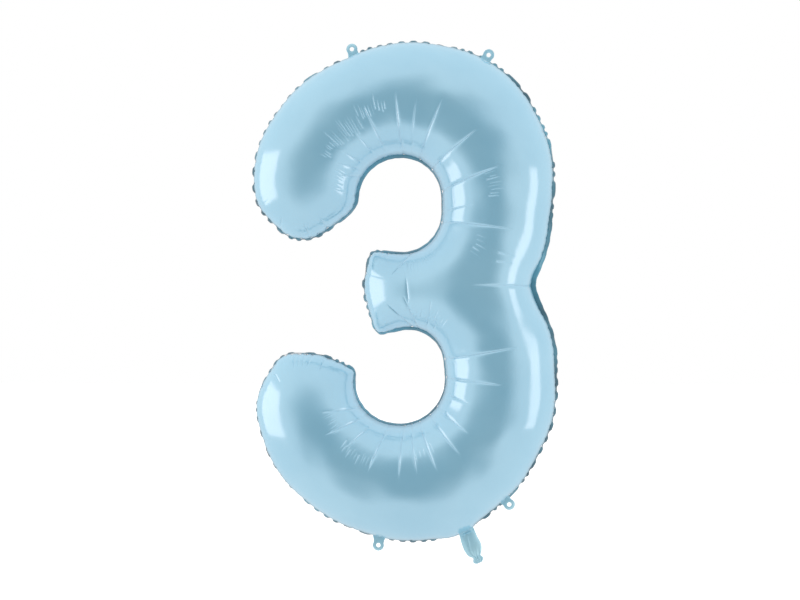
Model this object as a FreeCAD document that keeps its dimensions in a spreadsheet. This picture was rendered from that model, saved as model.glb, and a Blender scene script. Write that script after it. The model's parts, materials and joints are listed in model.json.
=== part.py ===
"""Foil number balloon, figure 3, inflated.

Two foil panels are welded face to face along a flat border, which carries four hanging tabs and
the filling neck. The neck ends in a mouth with a front and a back lip, and the two films of the
self-sealing valve run from the neck's fold line through the border into the balloon.

Frame: millimetres, +Z up, the front faces -Y and +X is to its right. The seam lies in the XZ
plane. The layout below is drawn from the middle of the figure, and every Placement moves it by
origin_x and origin_z, so that the frame's origin is the centre of the whole balloon's box.
"""

import FreeCAD, Part

import math
import os

import Sketcher
from FreeCAD import Placement, Rotation, Vector

# Driving dimensions in millimetres and degrees: alias, value, meaning.
DIMENSIONS = [
    ("origin_x", 8.0, "layout position of the frame's origin"),
    ("origin_z", -19.0, "layout position of the frame's origin"),
    ("skin_ply", 1.0, "thickness of a panel"),
    ("border_ply", 0.6, "thickness of each layer of the border, tabs and neck"),
    ("border_width", 9.0, "from the cut edge to the weld line"),
    ("border_lap", 3.0, "border inside the weld line, under the panels' rims"),
    ("bowl_x", 0.0, "layout position of both bowls' centres"),
    ("bowl_z", 150.0, "height of a bowl's centre above or below the middle"),
    ("bulge", 0.85, "height of a panel over that distance"),
    ("full_reach", 98.0, "distance from the weld line at which a panel is highest"),
    ("tab_width", 20.0, "width of a hanging tab"),
    ("tab_hole", 8.0, "diameter of a tab's punched hole"),
    ("tab_long", 8.0, "from a tab's fold line to its hole's centre"),
    ("fold_gap", 0.8, "clear width on each side of a fold line"),
    ("lug_depth", 8.0, "border lug under a fold line"),
    ("neck_root", 28.5, "width of the neck at its fold line"),
    ("neck_belly", 30.5, "greatest width of the neck"),
    ("neck_belly_long", 26.0, "from the fold line to the greatest width"),
    ("neck_waist", 14.5, "width of the neck at the mouth"),
    ("neck_long", 46.5, "from the fold line to the mouth's fold line"),
    ("lip_width", 19.5, "width of a mouth lip"),
    ("lip_long", 11.5, "from the mouth's fold line to the lip's end"),
    ("channel_width", 12.0, "width of the filling channel"),
    ("channel_half", 0.30, "half height of the channel through the border"),
    ("mouth_half", 0.10, "half height of the channel in the neck and mouth"),
    ("film_ply", 0.22, "thickness of a valve film"),
    ("film_width", 11.0, "width of a valve film"),
    ("film_long", 85.0, "length of a valve film"),
]

# The cut edge of the border, clockwise from the left shoulder: corner x, corner z, rounding radius.
OUTLINE = [
    (-268, 242, 184),
    (-179, 369, 222),
    (-14, 447, 242),
    (186, 411, 210),
    (274, 247, 211),
    (263, 74, 244),
    (234, 12, 40),
    (275, -88, 175),
    (274, -226, 192),
    (213, -343, 207),
    (68, -465, 220),
    (-128, -404, 269),
    (-227, -314, 206),
    (-261, -192, 94),
    (-209, -106, 42),
    (-138, -110, 23),
    (-76, -137, 15),
    (-87, -220, 72),
    (87, -246, 79),
    (71, -70, 61),
    (10, -68, 58),
    (-43, -78, 15),
    (-69, 6, 112),
    (-53, 73, 15),
    (73, 63, 69),
    (71, 234, 70),
    (-67, 232, 72),
    (-74, 144, 46),
    (-178, 70, 60),
    (-253, 148, 65),
]

# Hanging tabs: node, hole centre x and z, and the way the tab points, from +X towards +Z.
TABS = [
    ("tab_top_left", -84.5, 424.0, 106.0),
    ("tab_top_right", 155.0, 412.0, 57.0),
    ("tab_bottom_left", -38.0, -445.0, -97.0),
    ("tab_bottom_right", 191.0, -372.5, -47.0),
]

NECK_FOLD = (115.2, -421.5)  # middle of the neck's fold line
NECK_ANGLE = -65.5  # the way the neck points, from +X towards +Z

# Ribs are straight lines across the figure, from weld line to weld line. Those of a bowl fan out
# from its centre; those of the bar fan out from a pivot to the right of the waist. Degrees.
UPPER_RIBS = [197.7, 197.2, 195.5, 193, 188] + list(range(180, -25, -6))
BAR_RIBS = [165, 168, 171, 173.5, 176, 180, 184, 187.5, 190, 192, 195, 199]
LOWER_RIBS = list(range(24, -181, -6)) + [-184, -188, -190.5, -191.6, -192.2]
BAR_PIVOT = (330.0, 11.0)
RIB_POINTS = 13  # points of a rib's profile
END_HOLLOW = 0.1  # inner height over outer height of the two end ribs
FAR = 700.0  # longer than any rib


def make_sheet(doc):
    """Put the driving dimensions in a spreadsheet, one alias each."""
    sheet = doc.addObject("Spreadsheet::Sheet", "Sizes")
    for row, (alias, value, meaning) in enumerate(DIMENSIONS, start=1):
        sheet.set("A%d" % row, alias)
        sheet.set("B%d" % row, str(value))
        sheet.set("C%d" % row, meaning)
        sheet.setAlias("B%d" % row, alias)
    doc.recompute()
    return sheet


def layout(sheet, x, z, angle=0.0):
    """Placement of something drawn at layout (x, z), turned by angle from +X towards +Z."""
    base = Vector(x - sheet.origin_x, 0, z - sheet.origin_z)
    return Placement(base, Rotation(Vector(0, 1, 0), -angle))


def outline_edges(inset):
    """Line and arc edges of the cut edge, moved inwards by inset, drawn with z as y."""
    corners = [Vector(x, z, 0) for x, z, _ in OUTLINE]
    arcs = []
    for index, (x, z, radius) in enumerate(OUTLINE):
        corner = corners[index]
        back = (corners[index - 1] - corner).normalize()
        ahead = (corners[(index + 1) % len(corners)] - corner).normalize()
        middle = (back + ahead).normalize()
        half = back.getAngle(ahead) / 2
        # The outline runs clockwise, so a right turn is a convex corner.
        side = 1 if back.y * ahead.x - back.x * ahead.y < 0 else -1
        corner = corner + middle * (side * inset / math.sin(half))
        radius = radius - side * inset
        tangent = radius / math.tan(half)
        centre = corner + middle * (radius / math.sin(half))
        arcs.append((corner + back * tangent, centre - middle * radius, corner + ahead * tangent))
    edges = []
    for index, (start, through, end) in enumerate(arcs):
        edges.append(Part.Arc(start, through, end))
        follower = arcs[(index + 1) % len(arcs)][0]
        edges.append(Part.LineSegment(end, follower))
    return edges


def outline_face(inset):
    """Face in the XZ plane inside the cut edge, moved inwards by inset."""
    face = Part.Face(Part.Wire([edge.toShape() for edge in outline_edges(inset)]))
    face.rotate(Vector(0, 0, 0), Vector(1, 0, 0), 90)
    return face


def new_body(doc, name):
    body = doc.addObject("PartDesign::Body", name)
    body.Label = name
    return body


def new_sketch(body, name, role="XZ_Plane"):
    sketch = body.newObject("Sketcher::SketchObject", name)
    plane = [item for item in body.Origin.OriginFeatures if item.Role == role][0]
    sketch.AttachmentSupport = [(plane, "")]
    sketch.MapMode = "FlatFace"
    return sketch


def pad(body, sketch, name, length, symmetric=False, reversed_side=False):
    feature = body.newObject("PartDesign::Pad", name)
    feature.Profile = sketch
    feature.setExpression("Length", length)
    feature.SideType = "Symmetric" if symmetric else "One side"
    feature.Reversed = reversed_side
    return feature


def pocket_both_sides(body, sketch, name, length):
    feature = body.newObject("PartDesign::Pocket", name)
    feature.Profile = sketch
    feature.SideType = "Symmetric"
    feature.setExpression("Length", length)
    return feature


def bound_profile(sketch, vertices):
    """Closed profile whose corners are bound to expressions.

    Each vertex is (x, y, centre x), and the third names the centre of an arc that runs
    counter-clockwise to the next vertex, or is None where a straight edge does.
    """
    def value(expression):
        return float(sketch.evalExpression(expression))

    def bind(kind, element, position, expression):
        datum = Sketcher.Constraint(kind, -1, 1, element, position, value(expression))
        index = sketch.addConstraint(datum)
        sketch.setExpression("Constraints[%d]" % index, expression)

    count = len(vertices)
    points = [Vector(value(x), value(y), 0) for x, y, _ in vertices]
    first = sketch.GeometryCount
    for index, (_, _, centre_x) in enumerate(vertices):
        start, end = points[index], points[(index + 1) % count]
        if centre_x is None:
            sketch.addGeometry(Part.LineSegment(start, end))
            continue
        cx = value(centre_x)
        if abs(end.y - start.y) < 1e-6:
            raise ValueError("an arc's ends need different heights")
        cy = (end.y ** 2 - start.y ** 2 + (end.x - cx) ** 2 - (start.x - cx) ** 2)
        cy = cy / (2 * (end.y - start.y))
        centre = Vector(cx, cy, 0)
        circle = Part.Circle(centre, Vector(0, 0, 1), (start - centre).Length)
        angles = [math.atan2(p.y - cy, p.x - cx) for p in (start, end)]
        sketch.addGeometry(Part.ArcOfCircle(circle, angles[0], angles[1]))
    for index, (x, y, centre_x) in enumerate(vertices):
        element = first + index
        sketch.addConstraint(
            Sketcher.Constraint("Coincident", element, 2, first + (index + 1) % count, 1))
        bind("DistanceX", element, 1, x)
        bind("DistanceY", element, 1, y)
        if centre_x is not None:
            bind("DistanceX", element, 3, centre_x)


def make_border(doc, sheet):
    """Two plies welded flat: the seam band, a lug under each fold line, and the filling slot."""
    body = new_body(doc, "seam_border")
    band = new_sketch(body, "BandSketch")
    band.addGeometry(outline_edges(0))
    band.addGeometry(outline_edges(sheet.border_width + sheet.border_lap))
    pad(body, band, "Band", "Sizes.border_ply * 2", symmetric=True)

    lugs = new_sketch(body, "LugSketch")
    gaps = new_sketch(body, "FoldSketch")
    reach = sheet.lug_depth + sheet.border_width
    folds = [(fold, angle, sheet.tab_width) for _, fold, angle in tab_folds(sheet)]
    folds.append((Vector(*NECK_FOLD, 0), NECK_ANGLE, sheet.neck_root))
    for fold, angle, width in folds:
        add_turned_box(lugs, fold, angle, -sheet.lug_depth, -sheet.fold_gap, width)
        add_turned_box(gaps, fold, angle, -sheet.fold_gap, reach, width + 2 * sheet.fold_gap)
    pad(body, lugs, "Lugs", "Sizes.border_ply * 2", symmetric=True)
    pocket_both_sides(body, gaps, "FoldGaps", "Sizes.border_ply * 4")

    slot = new_sketch(body, "SlotSketch")
    inner = -(sheet.border_width + sheet.border_lap + sheet.lug_depth)
    add_turned_box(slot, Vector(*NECK_FOLD, 0), NECK_ANGLE, inner, 0, sheet.channel_width)
    pocket_both_sides(body, slot, "Slot", "Sizes.channel_half * 2")
    body.Placement = layout(sheet, 0, 0)
    return body


def add_turned_box(sketch, origin, angle, near, far, width):
    """Rectangle from near to far along angle, width wide, about a line through origin."""
    turn = Rotation(Vector(0, 0, 1), angle)
    corners = [(near, -width / 2), (far, -width / 2), (far, width / 2), (near, width / 2)]
    corners = [origin + turn.multVec(Vector(x, y, 0)) for x, y in corners]
    for index, corner in enumerate(corners):
        sketch.addGeometry(Part.LineSegment(corner, corners[(index + 1) % 4]))


def tab_folds(sheet):
    """Node, middle of the fold line and direction of each tab."""
    folds = []
    for name, x, z, angle in TABS:
        along = Vector(math.cos(math.radians(angle)), math.sin(math.radians(angle)), 0)
        folds.append((name, Vector(x, z, 0) - along * sheet.tab_long, angle))
    return folds


def make_tab(doc, sheet, name, fold, angle):
    """Flat tab with a round end about its hole, drawn from the middle of its fold line."""
    body = new_body(doc, name)
    shape = new_sketch(body, name + "_outline")
    half = "Sizes.tab_width / 2"
    bound_profile(shape, [
        ("Sizes.fold_gap", "-%s" % half, None),
        ("Sizes.tab_long", "-%s" % half, "Sizes.tab_long"),
        ("Sizes.tab_long", half, None),
        ("Sizes.fold_gap", half, None),
    ])
    pad(body, shape, name + "_film", "Sizes.border_ply * 2", symmetric=True)
    hole = new_sketch(body, name + "_punch")
    ring = Part.Circle(Vector(sheet.tab_long, 0, 0), Vector(0, 0, 1), sheet.tab_hole / 2)
    hole.addGeometry(ring)
    hole.addConstraint(Sketcher.Constraint("PointOnObject", 0, 3, -1))
    across = hole.addConstraint(Sketcher.Constraint("Diameter", 0, sheet.tab_hole))
    hole.setExpression("Constraints[%d]" % across, "Sizes.tab_hole")
    along = hole.addConstraint(Sketcher.Constraint("DistanceX", -1, 1, 0, 3, sheet.tab_long))
    hole.setExpression("Constraints[%d]" % along, "Sizes.tab_long")
    pocket_both_sides(body, hole, name + "_hole", "Sizes.border_ply * 4")
    body.Placement = layout(sheet, fold.x, fold.y, angle)
    return body


def make_neck_film(doc, sheet, name, is_back):
    """One film of the neck, drawn from the middle of the fold line, with its half of the channel."""
    body = new_body(doc, name)
    shape = new_sketch(body, name + "_outline")
    mouth = "Sizes.neck_long - Sizes.fold_gap"
    bound_profile(shape, [
        ("Sizes.fold_gap", "-Sizes.neck_root / 2", None),
        ("Sizes.neck_belly_long", "-Sizes.neck_belly / 2", "Sizes.neck_belly_long"),
        (mouth, "-Sizes.neck_waist / 2", None),
        (mouth, "Sizes.neck_waist / 2", "Sizes.neck_belly_long"),
        ("Sizes.neck_belly_long", "Sizes.neck_belly / 2", None),
        ("Sizes.fold_gap", "Sizes.neck_root / 2", None),
    ])
    pad(body, shape, name + "_film", "Sizes.border_ply", reversed_side=is_back)
    channel = new_sketch(body, name + "_channel_outline")
    half = "Sizes.channel_width / 2"
    bound_profile(channel, [
        ("-Sizes.fold_gap", "-%s" % half, None),
        ("Sizes.neck_long", "-%s" % half, None),
        ("Sizes.neck_long", half, None),
        ("-Sizes.fold_gap", half, None),
    ])
    pocket_both_sides(body, channel, name + "_channel", "Sizes.mouth_half * 2")
    body.Placement = layout(sheet, NECK_FOLD[0], NECK_FOLD[1], NECK_ANGLE)
    return body


def make_lip(doc, sheet, name, is_back):
    """One lip of the mouth, drawn from the middle of the mouth's fold line."""
    body = new_body(doc, name)
    shape = new_sketch(body, name + "_outline")
    flare = "Sizes.lip_long * 0.4"
    half = "Sizes.lip_width / 2"
    centre = "(Sizes.lip_long ^ 2 - (%s) ^ 2 - (%s) ^ 2) / (2 * (Sizes.lip_long - %s))"
    bound_profile(shape, [
        ("Sizes.fold_gap", "-Sizes.neck_waist / 2", None),
        (flare, "-%s" % half, centre % (flare, half, flare)),
        (flare, half, None),
        ("Sizes.fold_gap", "Sizes.neck_waist / 2", None),
    ])
    pad(body, shape, name + "_film", "Sizes.border_ply", reversed_side=is_back)
    pocket_both_sides(body, shape, name + "_clear", "Sizes.mouth_half * 2")
    turn = math.radians(NECK_ANGLE)
    fold_x = NECK_FOLD[0] + sheet.neck_long * math.cos(turn)
    fold_z = NECK_FOLD[1] + sheet.neck_long * math.sin(turn)
    body.Placement = layout(sheet, fold_x, fold_z, NECK_ANGLE)
    return body


def make_valve_film(doc, sheet, name, is_back):
    """Plain strip against the front or the back wall of the channel."""
    film = doc.addObject("Part::Box", name)
    film.Label = name
    film.setExpression("Length", "Sizes.film_long")
    film.setExpression("Width", "Sizes.film_ply")
    film.setExpression("Height", "Sizes.film_width")
    start = -sheet.fold_gap - sheet.film_long
    wall = sheet.channel_half - sheet.film_ply if is_back else -sheet.channel_half
    shift = Placement(Vector(start, wall, -sheet.film_width / 2), Rotation())
    film.Placement = layout(sheet, NECK_FOLD[0], NECK_FOLD[1], NECK_ANGLE).multiply(shift)
    return film


def rib_ends(face, origin, angle):
    """Near and far end of the first stretch of face on a line from origin."""
    turn = math.radians(angle)
    start = Vector(origin[0], 0, origin[1])
    line = Part.makeLine(start, start + Vector(math.cos(turn), 0, math.sin(turn)) * FAR)
    edges = face.common(line).Edges
    edge = min(edges, key=lambda item: item.distToShape(Part.Vertex(start))[0])
    ends = [vertex.Point for vertex in edge.Vertexes]
    return sorted(ends, key=lambda point: point.distanceToPoint(start))


def rib_profile(sheet, weld, inner_end, outer_end):
    """Points of the front panel's outside over one rib, from one weld line to the other.

    Above a point of the rib the panel is as high as an ellipse whose flank is the distance from
    that point to the weld line.
    """
    outside = []
    for number in range(RIB_POINTS):
        along = (1 - math.cos(math.pi * number / (RIB_POINTS - 1))) / 2
        point = inner_end + (outer_end - inner_end) * along
        clear = min(weld.distToShape(Part.Vertex(point))[0], sheet.full_reach)
        rise = sheet.bulge * math.sqrt(clear * (2 * sheet.full_reach - clear))
        outside.append(point - Vector(0, sheet.border_ply + rise, 0))
    return outside


def smooth_edge(points):
    curve = Part.BSplineCurve()
    curve.interpolate(points)
    return curve.toShape()


def rib_wire(sheet, outside, is_end):
    """Section of the front panel over one rib: an arched film that stands on the border.

    The first and the last rib's section is filled in, which closes the panel's two ends.
    """
    across = (outside[-1] - outside[0]).normalize()
    inside = [outside[0] + across * sheet.skin_ply]
    for before, point, after in zip(outside, outside[1:], outside[2:]):
        slope = (after - before).normalize()
        inward = Vector(0, 1, 0) - slope * slope.y
        inside.append(point + inward.normalize() * sheet.skin_ply)
    inside.append(outside[-1] - across * sheet.skin_ply)
    if is_end:
        middle = (outside[0] + outside[-1]) / 2
        narrow = 1 - 2 * sheet.skin_ply / outside[0].distanceToPoint(outside[-1])
        offsets = [(point - middle) * narrow for point in outside]
        inside = [middle + Vector(step.x, step.y * END_HOLLOW, step.z) for step in offsets]
    return Part.Wire([
        smooth_edge(outside),
        Part.makeLine(outside[-1], inside[-1]),
        smooth_edge(list(reversed(inside))),
        Part.makeLine(inside[0], outside[0]),
    ])


def make_panels(doc, sheet):
    """Front panel, lofted over its ribs, and the back panel, its mirror image."""
    face = outline_face(sheet.border_width)
    fans = [
        ((sheet.bowl_x, sheet.bowl_z), UPPER_RIBS),
        (BAR_PIVOT, BAR_RIBS),
        ((sheet.bowl_x, -sheet.bowl_z), LOWER_RIBS),
    ]
    profiles = []
    for origin, angles in fans:
        for angle in angles:
            near, far = rib_ends(face, origin, angle)
            ends = (far, near) if origin == BAR_PIVOT else (near, far)
            profiles.append(rib_profile(sheet, face.OuterWire, *ends))
    ribs = []
    for number, profile in enumerate(profiles):
        rib = doc.addObject("Part::Feature", "rib%02d" % number)
        rib.Shape = rib_wire(sheet, profile, number in (0, len(profiles) - 1))
        ribs.append(rib)
    front = doc.addObject("Part::Loft", "front_panel")
    front.Label = "front_panel"
    front.Sections = ribs
    front.Solid = True
    front.Ruled = True
    back = doc.addObject("Part::Mirroring", "back_panel")
    back.Label = "back_panel"
    back.Source = front
    back.Normal = Vector(0, 1, 0)
    doc.recompute()
    front.Placement = layout(sheet, 0, 0)
    return [front, back]


def check_and_export(doc, nodes):
    """Stop at anything that failed, then write one STEP file for each sub-part."""
    doc.recompute()
    for item in doc.Objects:
        if "Invalid" in item.State or "Error" in item.State:
            raise RuntimeError("%s failed: %s" % (item.Name, item.State))
    for node in nodes:
        if node.Shape.isNull() or not node.Shape.isValid() or not node.Shape.Solids:
            raise RuntimeError("%s has no valid solid" % node.Label)
    os.makedirs("parts", exist_ok=True)
    for node in nodes:
        node.Shape.exportStep(os.path.join("parts", node.Label + ".step"))
        box = node.Shape.BoundBox
        print("%-18s %d solid(s) %10.1f mm3  x %.1f..%.1f  y %.1f..%.1f  z %.1f..%.1f" % (
            node.Label, len(node.Shape.Solids), node.Shape.Volume,
            box.XMin, box.XMax, box.YMin, box.YMax, box.ZMin, box.ZMax))


def main():
    doc = FreeCAD.newDocument("number_balloon")
    sheet = make_sheet(doc)
    nodes = [make_border(doc, sheet)]
    nodes += [make_tab(doc, sheet, name, fold, angle) for name, fold, angle in tab_folds(sheet)]
    for side, is_back in (("front", False), ("back", True)):
        nodes.append(make_neck_film(doc, sheet, "neck_%s_film" % side, is_back))
        nodes.append(make_lip(doc, sheet, "mouth_%s_lip" % side, is_back))
        nodes.append(make_valve_film(doc, sheet, "valve_%s_film" % side, is_back))
    nodes += make_panels(doc, sheet)
    check_and_export(doc, nodes)


main()
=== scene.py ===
"""Looks of the foil number balloon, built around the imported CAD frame. Metres, +Z up, front -Y.

The seam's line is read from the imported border. Two foil panels rise from it as an inflated
membrane, with the long creases, fine wrinkles and seam puckers of a full foil balloon, and with
its ruffled border. "Plan" is the seam plane: points in it are (x, z).
"""
import json
import math

import bpy
import numpy as np
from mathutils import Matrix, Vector
from mathutils.geometry import delaunay_2d_cdt


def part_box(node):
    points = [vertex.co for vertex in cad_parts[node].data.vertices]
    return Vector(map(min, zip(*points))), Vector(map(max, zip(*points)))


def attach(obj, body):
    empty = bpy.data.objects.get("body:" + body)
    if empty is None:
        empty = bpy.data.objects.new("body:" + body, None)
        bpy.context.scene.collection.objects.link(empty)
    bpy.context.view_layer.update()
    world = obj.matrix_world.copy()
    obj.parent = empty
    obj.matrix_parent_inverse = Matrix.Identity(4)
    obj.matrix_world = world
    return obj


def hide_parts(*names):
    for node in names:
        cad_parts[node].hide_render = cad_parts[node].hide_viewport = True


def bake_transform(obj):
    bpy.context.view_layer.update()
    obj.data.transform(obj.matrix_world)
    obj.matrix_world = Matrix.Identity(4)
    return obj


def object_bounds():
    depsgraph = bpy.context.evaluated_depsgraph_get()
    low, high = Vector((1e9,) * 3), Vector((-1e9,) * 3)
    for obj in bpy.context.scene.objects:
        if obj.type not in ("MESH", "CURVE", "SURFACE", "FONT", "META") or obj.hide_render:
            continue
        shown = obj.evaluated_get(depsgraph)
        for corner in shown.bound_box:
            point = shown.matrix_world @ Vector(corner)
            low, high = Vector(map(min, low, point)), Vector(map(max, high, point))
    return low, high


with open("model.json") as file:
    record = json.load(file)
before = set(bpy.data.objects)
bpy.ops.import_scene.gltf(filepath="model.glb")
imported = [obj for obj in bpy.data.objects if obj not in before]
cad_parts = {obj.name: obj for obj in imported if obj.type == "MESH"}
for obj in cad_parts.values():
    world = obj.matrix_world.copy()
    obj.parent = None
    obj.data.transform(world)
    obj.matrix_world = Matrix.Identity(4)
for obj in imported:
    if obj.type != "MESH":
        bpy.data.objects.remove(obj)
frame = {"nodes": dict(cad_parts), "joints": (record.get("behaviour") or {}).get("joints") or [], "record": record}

CAD_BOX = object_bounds()

# Seam
BORDER_WIDTH = 0.009  # from the weld line to the cut edge
BORDER_LAP = 0.003  # from the CAD border's inner edge to the CAD weld line
FILM = 0.0003  # thickness of the border, tabs and neck
FILM_GAP = 0.0001  # between the seam plane and the neck's films
SEAM_STEP = 0.0020  # spacing of the seam's points
BORDER_ROWS = 5
BEND_REACH = 30  # points on each side over which the seam's bend is averaged
BEND_SPREAD = 10.0
CONVEX_GAIN = 0.12
BORDER_START = -0.2  # the border's first row, as a share of its width from the weld line
RUFFLE = 0.0225  # length of one scallop of the border
DRIFT_PITCH = 0.035
SCALLOP_DRIFT = 0.7  # how far a scallop strays along the seam, in scallops
SCALLOP_SWING = 0.62  # of the shown share, times its waver
SCALLOP_FLAT = 2.2  # flatness of a scallop's top
SCALLOP_LEAN = 0.3  # makes scallops longer than the gaps between them
NOISE_PITCH = 0.030  # of the unevenness of the scallops and of the turned part
SCALLOP_NOISE = 0.4
LEAST_SHOWN = 0.03
TUCK = 0.85  # how far the turned part stands back, over its full width
TUCK_NOISE = 0.15
TUCK_CURVE = 1.2

# Puckers, the short creases across the weld line: their pitch, depth, length and half width. Each
# has its size where the outline is hollow, what is added where it bulges, and the lowest and
# highest factor that a random draw puts on it.
PUCKER_SIZES = [
    (0.008, 0.005, 0.6, 1.4),
    (0.0010, 0.0011, 0.35, 1.3),
    (0.010, 0.012, 0.5, 1.5),
    (0.0020, 0.0, 0.8, 1.4),
]
PUCKER_FADE = 1.5  # how suddenly a pucker ends, up the panel
PUCKER_CUT = 6  # half widths aside from a pucker after which it is left out
PUCKER_REACH = 0.055  # no pucker goes further up the panel
PUCKER_PARTS = 60  # parts in which the nearest seam points are looked up, to save memory

# How the border stands along the seam: x, z, the share of its width that shows from the front,
# and how much that share wavers. The rest of its width is turned back. Where the share is below
# zero, over the neck's root, the panel bulges past the CAD outline.
BORDER_TURN = [
    (-0.075, 0.190, 0.55, 0.03),
    (-0.030, 0.250, 0.55, 0.03),
    (0.068, 0.180, 0.24, 0.02),
    (0.000, 0.088, 0.45, 0.03),
    (-0.062, 0.085, 0.40, 0.15),
    (-0.078, 0.025, 0.25, 0.30),
    (-0.052, -0.055, 0.30, 0.15),
    (0.000, -0.050, 0.55, 0.03),
    (0.072, -0.130, 0.25, 0.02),
    (0.000, -0.215, 0.32, 0.02),
    (-0.085, -0.150, 0.35, 0.05),
    (-0.120, -0.095, 0.28, 0.28),
    (-0.200, -0.092, 0.22, 0.15),
    (-0.265, -0.160, 0.14, 0.20),
    (-0.230, -0.300, 0.16, 0.22),
    (-0.130, -0.385, 0.22, 0.26),
    (0.040, -0.440, 0.32, 0.25),
    (0.105, -0.408, -0.40, 0.00),
    (0.150, -0.380, 0.35, 0.28),
    (0.262, -0.200, 0.32, 0.28),
    (0.262, -0.070, 0.60, 0.10),
    (0.230, 0.030, 0.95, 0.02),
    (0.255, 0.095, 0.70, 0.06),
    (0.265, 0.220, 0.42, 0.28),
    (0.190, 0.390, 0.36, 0.28),
    (0.000, 0.455, 0.28, 0.28),
    (-0.150, 0.385, 0.20, 0.36),
    (-0.262, 0.260, 0.20, 0.36),
    (-0.250, 0.150, 0.22, 0.34),
    (-0.185, 0.092, 0.28, 0.25),
    (-0.110, 0.140, 0.30, 0.20),
]

# Panels
GRID = 0.002  # pitch of the membrane's grid
SWEEPS = 500
RELAX = 2 / (1 + math.sin(math.pi / 110))  # for a figure about 110 grid cells across
CLIMB_STEPS = 3
START_DEPTH = 0.0045  # how far in from the weld line the rows run straight
TUBE = 0.087  # typical radius of the inflated stroke
FULLNESS = 0.92  # height of the panels over the membrane's
BAND_ROWS = 30  # rows between the weld line and the middle part
BAND_TURN = math.radians(52)  # turn of the surface over those rows
STRIP_ROWS = 12  # rows next to the weld line whose faces are four-sided
INNER_STEP = 0.0026  # spacing of the points of the middle part
GRID_MARGIN = 1.03  # level of the lowest grid point over the last row's
FOLD_MARGIN = 1.08  # level of the lowest crease point over the middle part's rim
MERGE_GAP = 1e-7  # points nearer than this would be merged
CREASE_STEP = 0.0022  # spacing of points along a crease
CREASE_SIDES = (-1.08, -0.54, -0.25, 0.0, 0.25, 0.54, 1.08)  # in half widths
CREASE_CLEAR = 1.5  # other points keep this many half widths from a crease
CREASE_LEAD = 0.45  # share of its length that a crease runs on towards the seam
CREASE_FADE = 2.5  # how suddenly a crease ends at its inner end
CREASE_CUT = 8  # half widths aside from a crease after which it is left out
CREASE_SINK = 0.85  # depth of a crease's floor over its stated depth
CREASE_WIDE = 0.62  # width of its profile at the seam end, in half widths
CREASE_TAPER = 0.22  # what the profile loses by the inner end
SWELL = 0.0010  # slow unevenness of the film
SWELL_WAVES = 24
SWELL_RATE = 55  # radians per metre
SWELL_SCALE = 6  # brings the sum of the waves to about -1 to 1

# Tabs, measured from the hole's centre
TAB_HOLE = 0.0038
TAB_HEAD = 0.0098
TAB_RING = 0.0064
TAB_NECK = 0.0090  # half width below the head
TAB_ROOT = 0.017  # end of the root, inside the border
TAB_FLARE = 32  # widening of the root, per metre, after TAB_FLARE_START
TAB_FLARE_START = 0.006
TAB_EMBOSS = 0.0004
TAB_EMBOSS_WIDE = 0.0009
TAB_SIDES = 72
TAB_ROWS = 9
TAB_PROBES = 90  # distances tried in the search for a tab's edge
TAB_FAR = 0.022
# How much each tab's far end bows, backwards where positive
TAB_CURLS = {
    "tab_top_left": 0.15, "tab_top_right": -0.2, "tab_bottom_left": 0.1, "tab_bottom_right": 0.2}

# Neck: places along it from its fold line, half widths to its left and right, and its puff
NECK_KNOTS = (-0.008, 0.0, 0.014, 0.033, 0.041, 0.0465, 0.0515, 0.055, 0.058)
NECK_LEFT = (0.0155, 0.0155, 0.0153, 0.0150, 0.0112, 0.0072, 0.0093, 0.0080, 0.0045)
NECK_RIGHT = (0.0125, 0.0125, 0.0148, 0.0150, 0.0124, 0.0072, 0.0093, 0.0094, 0.0050)
NECK_PUFF = (0.0020, 0.0030, 0.0052, 0.0046, 0.0030, 0.0016, 0.0014, 0.0016, 0.0016)
NECK_MOUTH = NECK_KNOTS[-4]  # place of the mouth's fold line
NECK_ROUND = 0.7  # power of the puff's shape across the width, where 0.5 is half an ellipse
# Gathers, the waves across the neck at its mouth and its root: height, place and reach, radians
# per half width, and the shift that sets the front apart from the back
NECK_GATHERS = [(0.0010, NECK_MOUTH, 0.011, 13, 2), (0.0006, 0.0, 0.006, 9, 1)]
NECK_DENT = (0.0030, 0.0004, 0.0014)  # depth, place and reach of the dent of its fold line
# The crease that slants down its belly: depth, place and reach, then its width and where it runs
# across the neck, in half widths: one place that it passes, and its slant per metre
NECK_CREASE = (0.0020, 0.016, 0.013)
NECK_CREASE_WIDE = 0.09
NECK_CREASE_AT = (0.02, 0.25)
NECK_CREASE_SLANT = 9
NECK_COLUMNS = 36
NECK_STEP = 0.0009

PICTURE_WIDTH = 1.40  # of the seam plane across the picture
LENS = 85.0
SENSOR = 36.0
CAMERA_TURN = math.radians(3)
AIM = Vector((-0.008, 0, 0.0033))

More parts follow.
